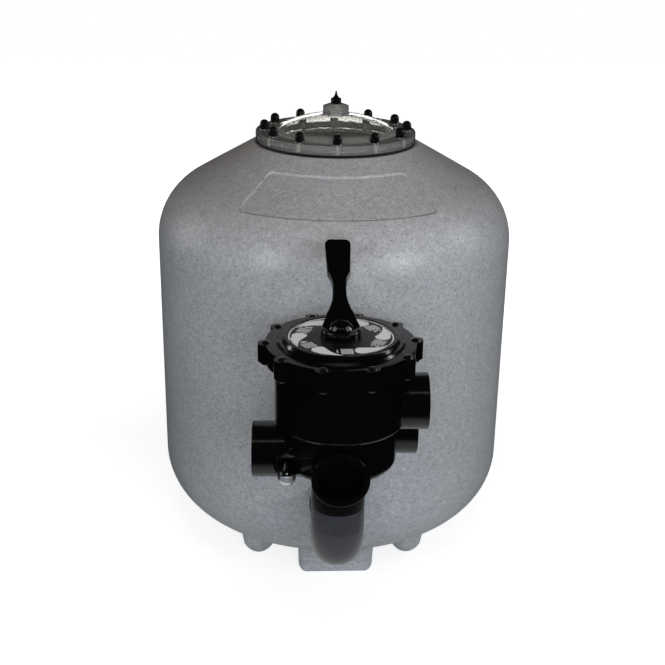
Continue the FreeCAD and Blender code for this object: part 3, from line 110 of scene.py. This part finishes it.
def relief(material, shader, pattern, depth, strength=1.0, edge=None):
    """Raises the surface by a pattern, its depth and the softness of sharp edges in millimetres."""
    bump = add_node(material, "ShaderNodeBump", {"Distance": depth * MM, "Strength": strength},
                    {"Height": pattern})
    if edge:
        soft = add_node(material, "ShaderNodeBevel", {"Radius": edge * MM}, samples=6)
        material.node_tree.links.new(soft.outputs["Normal"], bump.inputs["Normal"])
    material.node_tree.links.new(bump.outputs["Normal"], shader.inputs["Normal"])


def dress(material, *names):
    """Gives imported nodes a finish."""
    for name in names:
        for holder in nodes[name].material_slots:
            holder.material = material


def stone_polyethylene():
    """Grey polyethylene with darker and paler grains."""
    material, shader, place = new_finish("stone_effect_polyethylene_rotomoulded", IOR=1.51)
    pellets = add_node(material, "ShaderNodeTexVoronoi", {"Scale": grains(2.4)}, {"Vector": place})
    grain = add_node(material, "ShaderNodeSeparateColor", links={"Color": pellets.outputs["Color"]})
    mottle = add_node(material, "ShaderNodeTexNoise", {"Scale": grains(9), "Detail": 3}, {"Vector": place})
    drift = add_node(material, "ShaderNodeTexNoise", {"Scale": grains(160), "Detail": 2}, {"Vector": place})
    skin = shades(material, grain.outputs["Red"], [
        (0.0, "#7a7c7e"), (0.06, "#868a8c"), (0.18, "#8f9396"), (0.55, "#95999d"), (0.92, "#9ca0a4"),
        (1.0, "#a6aaae")])
    soft = shades(material, mottle.outputs["Fac"], [(0.3, "#e3e4e5"), (0.7, "#ffffff")])
    broad = shades(material, drift.outputs["Fac"], [(0.3, "#f1f1f1"), (0.7, "#ffffff")])
    mixed = add_node(material, "ShaderNodeMix", {0: 0.8}, {6: skin, 7: soft},
                     data_type="RGBA", blend_type="MULTIPLY").outputs[2]
    whole = add_node(material, "ShaderNodeMix", {0: 0.7}, {6: mixed, 7: broad},
                     data_type="RGBA", blend_type="MULTIPLY").outputs[2]
    material.node_tree.links.new(whole, shader.inputs["Base Color"])
    roughen(material, shader, mottle.outputs["Fac"], 0.36, 0.46)
    relief(material, shader, mottle.outputs["Fac"], 0.35, 0.5, edge=2.6)
    return material


dress(stone_polyethylene(), "tank_shell")


# Neck ring: a stiff dark moulding set into the tank's neck while the tank is moulded, which holds
# the brass inserts under the lid.
# Its glass filling leaves the surface dull.
def moulded_plastic(name, colour, low, high, ripple=0.04, shift=0.10):
    """Solid-coloured injection-moulded plastic: flow marks vary its gloss a little."""
    material, shader, place = new_finish(name, IOR=1.53)
    flow = add_node(material, "ShaderNodeTexNoise", {"Scale": grains(28), "Detail": 4}, {"Vector": place})
    fine = add_node(material, "ShaderNodeTexNoise", {"Scale": grains(2.5), "Detail": 2}, {"Vector": place})
    tint = shades(material, flow.outputs["Fac"], [(0.25, darker(colour, shift)), (0.75, colour)])
    material.node_tree.links.new(tint, shader.inputs["Base Color"])
    roughen(material, shader, flow.outputs["Fac"], low, high)
    relief(material, shader, fine.outputs["Fac"], ripple)
    return material


def darker(code, share):
    """A hex colour with this share of its light taken away."""
    parts = [round(int(code[place:place + 2], 16) * (1 - share)) for place in (1, 3, 5)]
    return "#%02x%02x%02x" % tuple(parts)


dress(moulded_plastic("polypropylene_glass_filled_moulded", "#4a4a4c", 0.45, 0.60), "neck_ring")


# Wall unions: turned black plastic bulkheads clamped through the tank's flat pads by lock nuts,
# with a flat rubber seal under each outer flange.
# The plastic has an even, slightly soft gloss, and the rubber stays dull.
def sealing_rubber():
    """Black moulded rubber, dull, with a fine dusty bloom."""
    material, shader, place = new_finish("nitrile_rubber_moulded", IOR=1.52)
    bloom = add_node(material, "ShaderNodeTexNoise", {"Scale": grains(1.6), "Detail": 4}, {"Vector": place})
    tint = shades(material, bloom.outputs["Fac"], [(0.3, "#121212"), (0.8, "#1d1d1c")])
    material.node_tree.links.new(tint, shader.inputs["Base Color"])
    roughen(material, shader, bloom.outputs["Fac"], 0.6, 0.8)
    relief(material, shader, bloom.outputs["Fac"], 0.05)
    return material


union_plastic = moulded_plastic("abs_black_injection_moulded", "#0e0e0f", 0.24, 0.34)
rubber = sealing_rubber()
dress(union_plastic, "inlet_bulkhead", "inlet_nut", "outlet_bulkhead", "outlet_nut")
dress(rubber, "inlet_gasket", "outlet_gasket")


# Pipes and collector in the tank: pale moulded plastic that stays in the filter sand,
# a riser with its slotted cap, the pipe down to the hub, and eight slotted arms.
inner_plastic = moulded_plastic("abs_natural_injection_moulded", "#d2d1c8", 0.38, 0.50, shift=0.05)
dress(inner_plastic, "inlet_riser", "inlet_diffuser", "outlet_pipe", "collector_hub", "laterals")


# Elbow: dark grey pressure-pipe plastic, moulded with a smooth skin, glued into the valve's bottom
# socket and into the lower bulkhead.
dress(moulded_plastic("pvc_grey_injection_moulded", "#36383c", 0.22, 0.32), "elbow")


# Valve body: one glossy black moulding with two stacked chambers, five side sockets and the cover's
# lugs, and the rubber star that seals its ribs.
valve_plastic = moulded_plastic("abs_black_gloss_injection_moulded", "#060607", 0.13, 0.20)
dress(valve_plastic, "valve_body")
dress(rubber, "spider_gasket")


# Rotor: black moulded disc and stem with two rubber rings, pushed down by a steel spring
# between slippery washers.
# The real spring stays under the cover and shortens while the rotor rises; here it rides with the selector
# at one length.
def drawn_steel(name, colour, roughness):
    """Stainless steel with fine drawing marks along its length."""
    material, shader, place = new_finish(name, Metallic=1.0, Roughness=roughness)
    marks = add_node(material, "ShaderNodeTexNoise", {"Scale": grains(1.2), "Detail": 3}, {"Vector": place})
    tint = shades(material, marks.outputs["Fac"], [(0.3, darker(colour, 0.15)), (0.7, colour)])
    material.node_tree.links.new(tint, shader.inputs["Base Color"])
    relief(material, shader, marks.outputs["Fac"], 0.01)
    return material


def finished_piece(name, shape, material, body):
    """A mesh object made from a bmesh, riding on a body."""
    mesh = bpy.data.meshes.new(name)
    bmesh.ops.recalc_face_normals(shape, faces=shape.faces)
    shape.to_mesh(mesh)
    shape.free()
    mesh.materials.append(material)
    piece = bpy.data.objects.new(name, mesh)
    bpy.context.scene.collection.objects.link(piece)
    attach(piece, body)
    return piece


washer_plastic = moulded_plastic("acetal_black_turned", "#0d0d0d", 0.35, 0.45)
dress(moulded_plastic("abs_black_satin_injection_moulded", "#101011", 0.28, 0.36), "rotor")
dress(rubber, "stem_orings", "cover_oring", "sight_oring", "bleed_oring")
dress(washer_plastic, "spring_washer_lower", "spring_washer_upper", "handle_washer")
coil = bmesh.new()
coil.from_mesh(nodes["rotor_spring"].data)
bmesh.ops.remove_doubles(coil, verts=coil.verts, dist=0.001 * MM)
spring_wire = drawn_steel("stainless_spring_wire_drawn", "#b4b3b0", 0.30)
spring_coil = finished_piece("spring_coil", coil, spring_wire, "selector")
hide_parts("rotor_spring")
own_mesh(spring_coil)


# Cover: black moulding with a terrace and a raised rim round the dial, held by ten stainless
# screws through its lugs into nuts under the body's lugs.
fixing_steel = drawn_steel("stainless_steel_cold_headed", "#c4c3c0", 0.25)
dress(valve_plastic, "valve_cover")
dress(fixing_steel, "cover_screws", "cover_nuts")


# Dial: dark printed label plate in the cover's recess, with a white border, six white drops that
# run into it, and a number with ruled lines in each place between them.
dial_low, dial_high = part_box("dial_plate")
ink_lift = 0.05 * MM
ink_thickness = 0.15 * MM
ink_base = Vector(((dial_low.x + dial_high.x) / 2, (dial_low.y + dial_high.y) / 2, dial_high.z + ink_lift))
border_outer = 72.6 * MM
border_inner = 70.3 * MM
field_count = 6
field_step = 360 / field_count
field_turn = 272.75
field_reach = 55.0 * MM
drop_turn = 238.5
drop_reach = 57.0 * MM
drop_radius = 10.6 * MM
drop_stretch = 3.3
drop_sunk = 0.8 * MM
tail_pinch = 0.55
tail_sweep = 1.5
dash_rows = 7
dash_columns = 4
dash_length = 3.4 * MM
dash_width = 1.3 * MM
dash_pitch = 4.2 * MM
dash_start = -2.6 * MM
dash_stagger = 0.9 * MM
row_pitch = 2.6 * MM
number_size = 15 * MM
number_shift = -9 * MM


def printed_ink():
    """White screen ink: even, a little rough, with the plate's dark just showing through."""
    material, shader, place = new_finish("screen_ink_white_printed", IOR=1.5)
    cover = add_node(material, "ShaderNodeTexNoise", {"Scale": grains(1.4), "Detail": 2}, {"Vector": place})
    tint = shades(material, cover.outputs["Fac"], [(0.25, "#e6e6e3"), (0.6, "#f2f2f0")])
    material.node_tree.links.new(tint, shader.inputs["Base Color"])
    roughen(material, shader, cover.outputs["Fac"], 0.35, 0.45)
    return material


def thicken(shape):
    """Gives flat ink its thickness, upwards."""
    grown = bmesh.ops.extrude_face_region(shape, geom=shape.faces[:])
    raised = [part for part in grown["geom"] if isinstance(part, bmesh.types.BMVert)]
    bmesh.ops.translate(shape, verts=raised, vec=(0, 0, ink_thickness))


def on_dial(turn, reach):
    """Where a mark at a turn and reach lies, with its top towards the dial's middle."""
    spin = Matrix.Rotation(math.radians(turn + 90), 4, "Z")
    return Matrix.Translation(ink_base) @ spin @ Matrix.Translation(Vector((0, -reach, 0)))


ink = printed_ink()
border = bmesh.new()
bmesh.ops.create_circle(border, segments=128, radius=border_inner)
bmesh.ops.create_circle(border, segments=128, radius=border_outer)
bmesh.ops.bridge_loops(border, edges=border.edges[:])
thicken(border)
bmesh.ops.translate(border, verts=border.verts, vec=ink_base)
finished_piece("dial_border", border, ink, "filter")

drops = bmesh.new()
for number in range(field_count):
    head = bmesh.ops.create_circle(drops, segments=64, radius=1, cap_ends=True)
    for corner in head["verts"]:
        along, across = corner.co.x, corner.co.y
        tail = min(max(along, 0), 1)
        along = along if along < 0 else along * drop_stretch
        span = math.copysign((1 - tail) ** tail_pinch, across) if tail else across
        sweep = math.sin(tail * math.pi / 2) ** tail_sweep
        reach = drop_reach + drop_radius * span + sweep * (border_inner + drop_sunk - drop_reach)
        turn = math.radians(drop_turn + number * field_step) + along * drop_radius / drop_reach
        corner.co = (reach * math.cos(turn), reach * math.sin(turn), 0)
thicken(drops)
bmesh.ops.translate(drops, verts=drops.verts, vec=ink_base)
finished_piece("dial_drops", drops, ink, "filter")

lines = bmesh.new()
dash = Matrix.Diagonal((dash_length, dash_width, ink_thickness, 1))
for number in range(field_count):
    place = on_dial(field_turn + number * field_step, field_reach)
    for row in range(dash_rows):
        for column in range(dash_columns):
            along = dash_start + column * dash_pitch + row % 2 * dash_stagger
            across = (row - dash_rows // 2) * row_pitch
            shift = Matrix.Translation(Vector((along, across, ink_thickness / 2)))
            bmesh.ops.create_cube(lines, size=1, matrix=place @ shift @ dash)
finished_piece("dial_lines", lines, ink, "filter")

for number in range(field_count):
    place = on_dial(field_turn + number * field_step, field_reach)
    word = bpy.data.curves.new(f"dial_number_{number + 1}", "FONT")
    word.body = str(number + 1)
    word.size = number_size
    word.extrude = ink_thickness / 2
    word.align_x = "CENTER"
    word.align_y = "CENTER"
    letter = bpy.data.objects.new("letter", word)
    mesh = bpy.data.meshes.new_from_object(letter)
    bpy.data.objects.remove(letter)
    mesh.transform(place @ Matrix.Translation(Vector((number_shift, 0, ink_thickness / 2))))
    mesh.materials.clear()
    mesh.materials.append(ink)
    figure = bpy.data.objects.new(f"dial_number_{number + 1}", mesh)
    bpy.context.scene.collection.objects.link(figure)
    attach(figure, "filter")

dress(moulded_plastic("polycarbonate_label_printed", "#151414", 0.30, 0.38, ripple=0.01), "dial_plate")


# Handle: glossy black moulding, a waisted lever that rises from a hub with a domed cap,
# held to the stem by a stainless pin.
dress(moulded_plastic("nylon_black_gloss_injection_moulded", "#050506", 0.10, 0.15), "handle")
dress(fixing_steel, "handle_pin")


# Sight glass: clear moulded acrylic cup, held to the waste port by a black gland ring.
# Its polished skin carries only slight waves, and light passes through it.
boss_edge = (20 * MM, 27 * MM)
rim_edge = (88 * MM, 100 * MM)


def fade(material, source, start, end, low, high):
    """Goes smoothly from low to high while the source goes from start to end."""
    values = {"From Min": start, "From Max": end, "To Min": low, "To Max": high}
    return add_node(material, "ShaderNodeMapRange", values, {"Value": source},
                    interpolation_type="SMOOTHSTEP").outputs["Result"]


def clear_plastic(name, colour, roughness, clearness, haze):
    """Clear moulded plastic with a tint and slight waves, hazier in the lid's boss and rim."""
    material, shader, place = new_finish(name, IOR=1.49, Roughness=roughness)
    tree = material.node_tree
    shader.inputs["Base Color"].default_value = linear(colour)
    flat = add_node(material, "ShaderNodeVectorMath", {1: (1, 1, 0)}, {0: place}, operation="MULTIPLY")
    reach = add_node(material, "ShaderNodeVectorMath", links={0: flat.outputs["Vector"]},
                     operation="LENGTH").outputs["Value"]
    boss = fade(material, reach, *boss_edge, haze, clearness)
    rim = fade(material, reach, *rim_edge, clearness, haze)
    clear = add_node(material, "ShaderNodeMath", links={0: rim, 1: boss}, operation="MINIMUM")
    tree.links.new(clear.outputs["Value"], shader.inputs["Transmission Weight"])
    waves = add_node(material, "ShaderNodeTexNoise", {"Scale": grains(22), "Detail": 2}, {"Vector": place})
    relief(material, shader, waves.outputs["Fac"], 0.10)
    passing = add_node(material, "ShaderNodeBsdfTransparent", {"Color": linear(colour)})
    path = add_node(material, "ShaderNodeLightPath").outputs
    whole = add_node(material, "ShaderNodeMixShader", links={
        0: path["Is Shadow Ray"], 1: shader.outputs[0], 2: passing.outputs[0]})
    tree.links.new(whole.outputs[0], tree.nodes["Material Output"].inputs["Surface"])
    return material


dress(clear_plastic("acrylic_clear_injection_moulded", "#fbfcfc", 0.0, 1.0, 1.0), "sight_glass")
dress(valve_plastic, "sight_ring")


# Lid: clear moulded dome on a flat rubber gasket, clamped to the neck by twelve studs that
# stand in brass inserts, each with a steel washer and a black dome nut.
def turned_brass():
    """Turned brass with fine tool marks."""
    material, shader, place = new_finish("brass_turned", Metallic=1.0, Roughness=0.3)
    marks = add_node(material, "ShaderNodeTexWave", {"Scale": grains(1.5), "Distortion": 0.5},
                     {"Vector": place}, wave_type="BANDS", bands_direction="Z")
    tint = shades(material, marks.outputs["Fac"], [(0.2, "#a98943"), (0.8, "#c3a258")])
    material.node_tree.links.new(tint, shader.inputs["Base Color"])
    return material


dress(turned_brass(), "lid_inserts")
dress(drawn_steel("stainless_thread_rolled", "#c4c3c0", 0.45), "lid_studs")
dress(fixing_steel, "lid_washers")
dress(moulded_plastic("polypropylene_black_injection_moulded", "#0b0b0b", 0.22, 0.30), "lid_nuts")
dress(rubber, "lid_gasket")
dress(clear_plastic("polycarbonate_smoky_injection_moulded", "#dad9d5", 0.02, 0.97, 0.82), "lid")


# Bleed plug: small black acetal plug with a pointed grip, moulded, and screwed into the boss
# on the lid over its ring seal.
dress(moulded_plastic("acetal_black_moulded", "#0a0a0a", 0.25, 0.35), "bleed_plug")


# Room: pale matt floor that keeps the shadow, white surround, broad soft boxes in front, above and
# behind, small ones for the highlights on tank, handle and studs, narrow ones at the sides, and the
# camera at the photograph's place.
# Floor and surround show white to the camera and through the clear lid; in reflections the surround is dim,
# and the floor is a painted reflection of lit floor, glowing bright round the object's foot and dim further
# out.
white = (1, 1, 1, 1)
floor_half = 6.0
floor_seen = 0.77
floor_bounce = 0.05
floor_middle = (0, -0.4, 0)
ambient = 0.05
dim_mirror = 0.004
floor_shape = bmesh.new()
bmesh.ops.create_grid(floor_shape, x_segments=1, y_segments=1, size=floor_half)
floor_mesh = bpy.data.meshes.new("floor")
floor_shape.to_mesh(floor_mesh)
floor_shape.free()
floor = bpy.data.objects.new("floor", floor_mesh)
bpy.context.scene.collection.objects.link(floor)


def plainly_seen(material):
    """One for rays from the camera or through glass, else nothing."""
    path = add_node(material, "ShaderNodeLightPath").outputs
    rays = {0: path["Is Camera Ray"], 1: path["Is Transmission Ray"]}
    return add_node(material, "ShaderNodeMath", links=rays, operation="MAXIMUM").outputs[0]


def heading(material):
    """Where a ray goes: right, away and up."""
    direction = add_node(material, "ShaderNodeTexCoord").outputs["Generated"]
    return add_node(material, "ShaderNodeSeparateXYZ", links={0: direction}).outputs


floor_paint = bpy.data.materials.new("paper_white_matt")
floor_paint.use_nodes = True
floor_tree = floor_paint.node_tree
floor_tree.nodes.remove(floor_tree.nodes["Principled BSDF"])
floor_output = floor_tree.nodes["Material Output"]
floor_place = add_node(floor_paint, "ShaderNodeTexCoord").outputs["Object"]
floor_reach = add_node(floor_paint, "ShaderNodeVectorMath", {1: floor_middle}, {0: floor_place},
                       operation="DISTANCE").outputs["Value"]
# Painted reflection: in glossy rays the floor glows bright round floor_middle and fades to dim further out,
# standing in for lit floor seen in reflections.
painted_floor_reflection = fade(floor_paint, floor_reach, 0.25, 0.60, 0.5, dim_mirror)
floor_plain = fade(floor_paint, floor_reach, 0.8, 1.7, floor_seen, 1.0)
floor_strength = add_node(floor_paint, "ShaderNodeMix", {2: floor_bounce},
                          {0: plainly_seen(floor_paint), 3: floor_plain}, data_type="FLOAT").outputs[0]
floor_matt = add_node(floor_paint, "ShaderNodeBsdfDiffuse", {"Color": linear("#c0c0c0")})
floor_glow = add_node(floor_paint, "ShaderNodeEmission", {"Color": white}, {"Strength": floor_strength})
floor_lit = add_node(floor_paint, "ShaderNodeAddShader", links={
    0: floor_matt.outputs[0], 1: floor_glow.outputs[0]})
# The glow that glossy rays see as the floor's painted reflection.
painted_floor_reflection_glow = add_node(floor_paint, "ShaderNodeEmission", {"Color": white}, {"Strength": painted_floor_reflection})
floor_path = add_node(floor_paint, "ShaderNodeLightPath").outputs
floor_mix = add_node(floor_paint, "ShaderNodeMixShader", links={
    0: floor_path["Is Glossy Ray"], 1: floor_lit.outputs[0], 2: painted_floor_reflection_glow.outputs[0]})
floor_tree.links.new(floor_mix.outputs[0], floor_output.inputs["Surface"])
floor_mesh.materials.append(floor_paint)

world = bpy.data.worlds.new("studio")
world.use_nodes = True
bpy.context.scene.world = world
backdrop = world.node_tree.nodes["Background"]
backdrop.inputs["Color"].default_value = white
wall_path = add_node(world, "ShaderNodeLightPath").outputs
wall_mirrored = fade(world, heading(world)["Y"], 0.1, 0.8, dim_mirror, 0.04)
wall_plain = fade(world, plainly_seen(world), 0, 1, ambient, 1.0)
wall = add_node(world, "ShaderNodeMix", links={
    0: wall_path["Is Glossy Ray"], 2: wall_plain, 3: wall_mirrored}, data_type="FLOAT")
world.node_tree.links.new(wall.outputs[0], backdrop.inputs["Strength"])

aim = Vector((0, -0.2, 0.38))


def softbox(name, azimuth, elevation, distance, width, height, power, colour, mirrored=True, lit=None):
    """A soft lamp that looks at the object, or at lit pieces alone.

    Azimuth 0 is in front and 90 on the right.
    """
    turn, rise = math.radians(azimuth), math.radians(elevation)
    away = Vector((math.sin(turn) * math.cos(rise), -math.cos(turn) * math.cos(rise), math.sin(rise)))
    lamp = bpy.data.lights.new(name, "AREA")
    lamp.shape = "RECTANGLE"
    lamp.size = width
    lamp.size_y = height
    lamp.energy = power
    lamp.color = linear(colour)[:3]
    holder = bpy.data.objects.new(name, lamp)
    holder.location = aim + away * distance
    holder.rotation_euler = away.to_track_quat("Z", "Y").to_euler()
    holder.visible_glossy = mirrored
    holder.light_linking.receiver_collection = lit
    bpy.context.scene.collection.objects.link(holder)


def lit_pieces(name, *pieces):
    """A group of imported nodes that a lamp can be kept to."""
    group = bpy.data.collections.new(name)
    for piece in pieces:
        group.objects.link(nodes[piece])
    return group


tank_alone = lit_pieces("tank_alone", "tank_shell")
handle_alone = lit_pieces("handle_alone", "handle")
studs_alone = lit_pieces("studs_alone", "lid_studs", "lid_washers")
all_but_tank = lit_pieces("all_but_tank", "tank_shell")
all_but_tank.collection_objects[0].light_linking.link_state = "EXCLUDE"
softbox("softbox_front", 4, 15, 3.2, 2.6, 1.2, 74, "#f3f8ff", mirrored=False)
softbox("softbox_top_tank", 0, 62, 2.4, 1.2, 0.8, 10, "#ffc58a", mirrored=False, lit=tank_alone)
softbox("softbox_top_others", 0, 62, 2.4, 1.2, 0.8, 14, "#fffaf4", mirrored=False, lit=all_but_tank)
softbox("softbox_sheen_left", -42, 21, 2.4, 0.40, 0.32, 14, "#ffffff", lit=tank_alone)
softbox("softbox_sheen_right", 42, 21, 2.4, 0.40, 0.32, 20, "#ffffff", lit=tank_alone)
softbox("softbox_line", 0, 50, 2.0, 1.6, 0.06, 0.7, "#fff4e0")
softbox("softbox_cap_left", -66, 36, 2.0, 1.1, 1.0, 7, "#ffffff", lit=handle_alone)
softbox("softbox_cap_right", 66, 36, 2.0, 1.1, 1.0, 6, "#ffffff", lit=handle_alone)
softbox("softbox_back", 180, 8, 3.2, 2.6, 0.8, 26, "#ffffff", mirrored=False)
softbox("softbox_studs", 0, 20, 3.0, 1.6, 1.0, 14, "#ffffff", lit=studs_alone)
softbox("softbox_side_left", -108, 14, 2.4, 0.35, 0.9, 5, "#ffffff")
softbox("softbox_side_right", 93, 24, 2.4, 0.4, 0.9, 9, "#ffffff")

camera = bpy.data.cameras.new("camera")
camera.sensor_width = 36
camera.lens = 61.18
eye = bpy.data.objects.new("camera", camera)
pitch, roll, swing = math.radians(21.4), math.radians(0.877), math.radians(-1.513)
back = Vector((math.sin(swing) * math.cos(pitch), -math.cos(swing) * math.cos(pitch), math.sin(pitch)))
right = Vector((math.cos(swing), math.sin(swing), 0))
upward = back.cross(right)
tilted_right = right * math.cos(roll) + upward * math.sin(roll)
tilted_up = upward * math.cos(roll) - right * math.sin(roll)
axes = Matrix((tilted_right, tilted_up, back)).transposed().to_4x4()
eye.matrix_world = Matrix.Translation(Vector((-0.0497, -1.8824, 1.0937))) @ axes
bpy.context.scene.collection.objects.link(eye)
bpy.context.scene.camera = eye
bpy.context.scene.view_settings.view_transform = "Standard"
